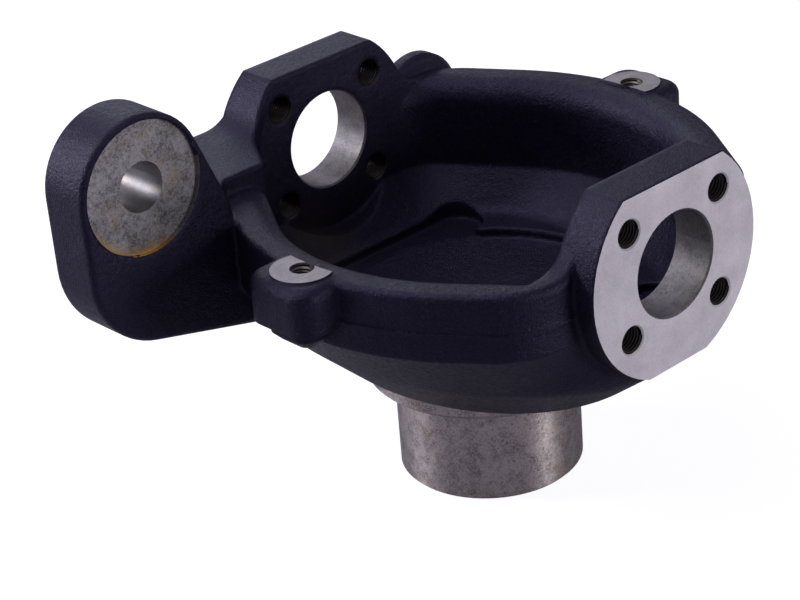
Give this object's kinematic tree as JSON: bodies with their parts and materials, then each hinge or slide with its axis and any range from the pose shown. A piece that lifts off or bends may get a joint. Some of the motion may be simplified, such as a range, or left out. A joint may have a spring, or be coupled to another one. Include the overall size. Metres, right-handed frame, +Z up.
{
  "type": "swivel housing",
  "caption": "Swivel housing of a steered drive axle: an open bowl with pivot ears on opposite sides, a hollow bearing spindle below and a steering arm with a tapered eye.",
  "frame": {"origin": "centre of the spindle's end face, on the spindle's axis", "axes": "+Z up along the spindle into the bowl; the pivot axis is level and runs along Y, 174 mm above the origin; the steering arm reaches towards -X"},
  "size_m": [0.4015, 0.302, 0.2715],
  "materials": {
    "painted_casting": "semi-gloss dark paint, with bare machined faces"
  },
  "bodies": {
    "root": {"swivel_housing": "painted_casting"}
  },
  "joints": []
}
